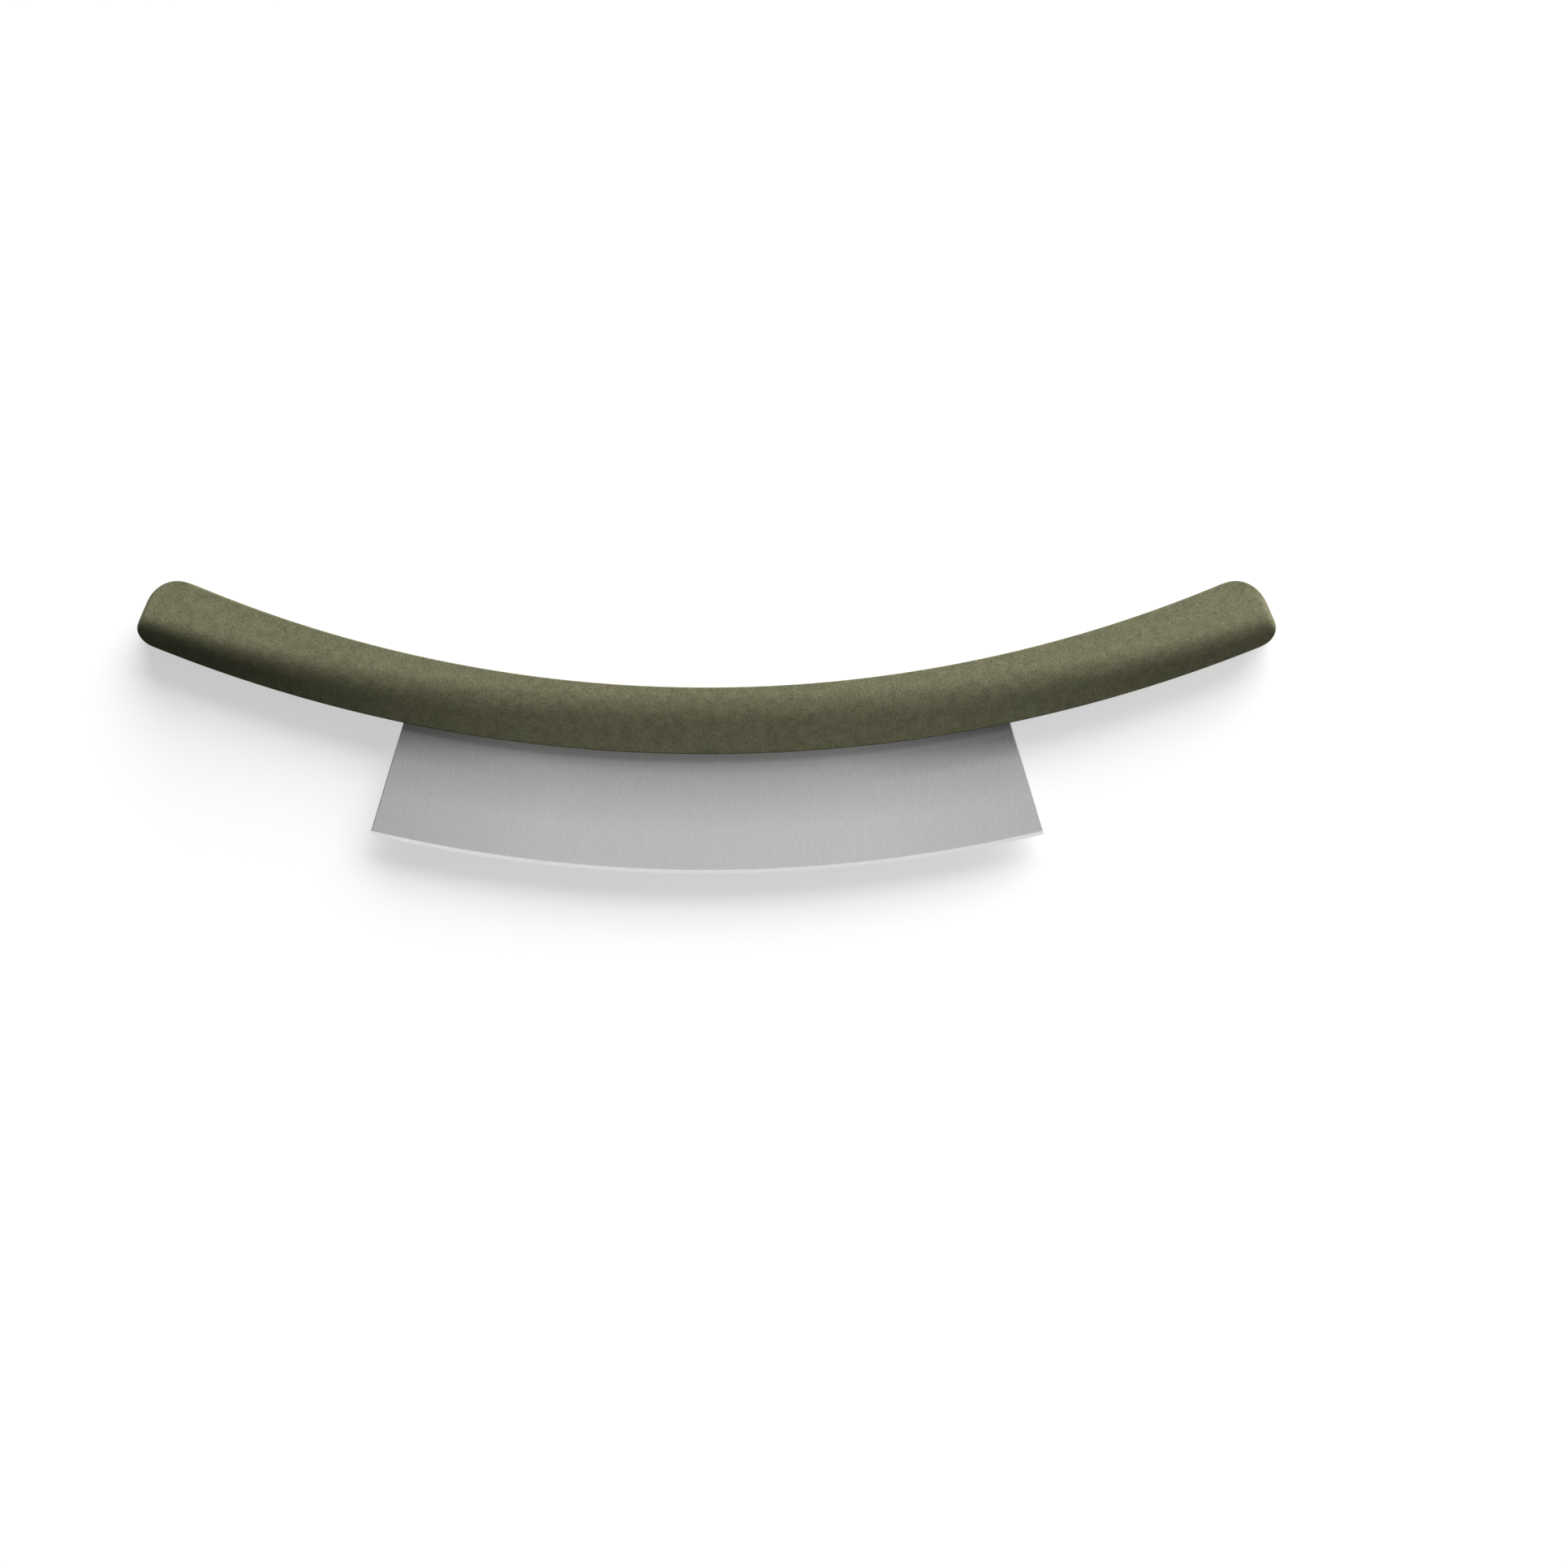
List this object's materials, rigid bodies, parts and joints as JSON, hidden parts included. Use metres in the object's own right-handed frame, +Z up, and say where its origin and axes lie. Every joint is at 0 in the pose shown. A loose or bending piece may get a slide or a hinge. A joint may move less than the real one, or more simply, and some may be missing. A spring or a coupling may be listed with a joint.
{
  "type": "mezzaluna",
  "caption": "Two-handed rocking chopper: a steel blade with a bowed cutting edge and flared sides, held along its tang in a long bowed handle with a full grip at each end.",
  "frame": {"origin": "on the surface that the knife lies on, under the middle of its bounding box", "axes": "+X along the handle, +Y from the cutting edge towards the grips' tips, +Z up through the blade's thickness, with the knife lying on its rear side"},
  "size_m": [0.3706, 0.0954, 0.022],
  "materials": {
    "handle_composite": "matt pressed wood-fibre composite, olive, finely speckled",
    "blade_steel": "brushed across the blade, with a brighter ground bevel",
    "pin_steel": "drawn and cut, unpolished"
  },
  "bodies": {
    "root": {"blade": "blade_steel", "front_handle_scale": "handle_composite", "rear_handle_scale": "handle_composite", "tang_pin_1": "pin_steel", "tang_pin_2": "pin_steel", "tang_pin_3": "pin_steel", "tang_pin_4": "pin_steel", "tang_pin_5": "pin_steel", "grip_dowel_1": "pin_steel", "grip_dowel_2": "pin_steel", "grip_dowel_3": "pin_steel", "grip_dowel_4": "pin_steel"}
  },
  "joints": []
}
